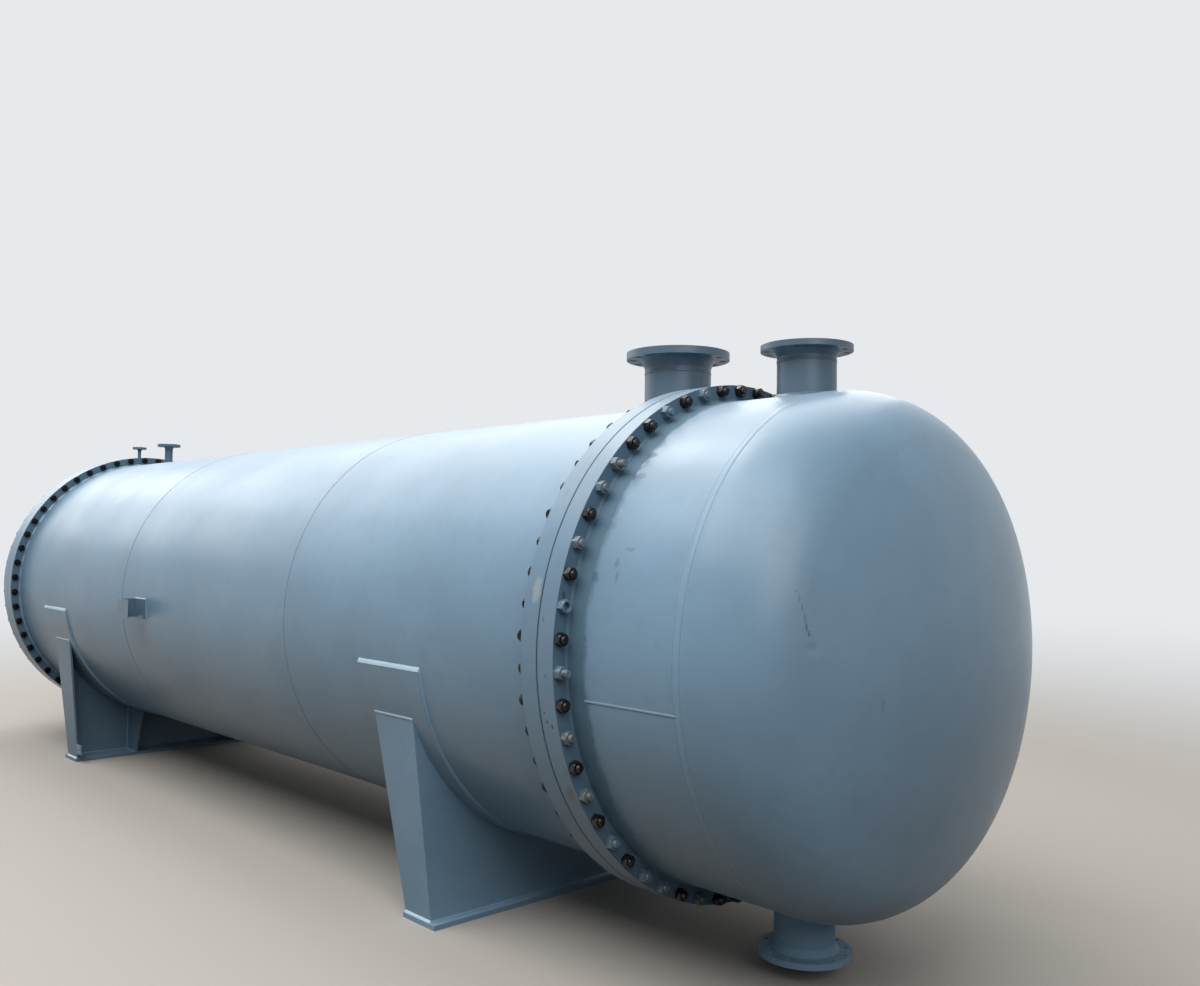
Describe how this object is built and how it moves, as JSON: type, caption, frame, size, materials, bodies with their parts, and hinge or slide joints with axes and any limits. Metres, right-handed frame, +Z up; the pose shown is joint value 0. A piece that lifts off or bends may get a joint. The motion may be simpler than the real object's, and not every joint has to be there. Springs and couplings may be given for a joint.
{
  "type": "horizontal shell-and-tube pressure vessel",
  "caption": "Horizontal steel pressure vessel on two saddles, with bolted girth flanges, dished heads and flanged pipe nozzles, for heating, cooling or holding process fluid.",
  "frame": {"origin": "on the ground, at the middle of the near saddle's base plate and under the vessel's axis", "axes": "+X along the vessel's axis towards the near channel, +Z up"},
  "size_m": [7.8174, 2, 2.322],
  "materials": {
    "vessel_paint": "semi-gloss blue-grey paint, weathered",
    "gasket_sheet": "matt black"
  },
  "bodies": {
    "root": {"channel_nozzle_flanges": "vessel_paint", "channel_nozzle_necks": "vessel_paint", "data_plate_bracket": "vessel_paint", "earthing_lug": "vessel_paint", "far_channel_barrel": "vessel_paint", "far_channel_flange": "vessel_paint", "far_gasket": "gasket_sheet", "far_head": "vessel_paint", "far_saddle_base_plate": "vessel_paint", "far_saddle_end_rib_back": "vessel_paint", "far_saddle_end_rib_front": "vessel_paint", "far_saddle_inner_rib_back": "vessel_paint", "far_saddle_inner_rib_front": "vessel_paint", "far_saddle_web": "vessel_paint", "far_saddle_wrapper_pad": "vessel_paint", "far_shell_course": "vessel_paint", "far_tubesheet": "vessel_paint", "middle_shell_course": "vessel_paint", "near_channel_barrel": "vessel_paint", "near_channel_flange": "vessel_paint", "near_gasket": "gasket_sheet", "near_head": "vessel_paint", "near_saddle_base_plate": "vessel_paint", "near_saddle_end_rib_back": "vessel_paint", "near_saddle_end_rib_front": "vessel_paint", "near_saddle_inner_rib_back": "vessel_paint", "near_saddle_inner_rib_front": "vessel_paint", "near_saddle_web": "vessel_paint", "near_saddle_wrapper_pad": "vessel_paint", "near_shell_course": "vessel_paint", "near_tubesheet": "vessel_paint", "shell_nozzle_flanges": "vessel_paint", "shell_nozzle_necks": "vessel_paint"}
  },
  "joints": []
}
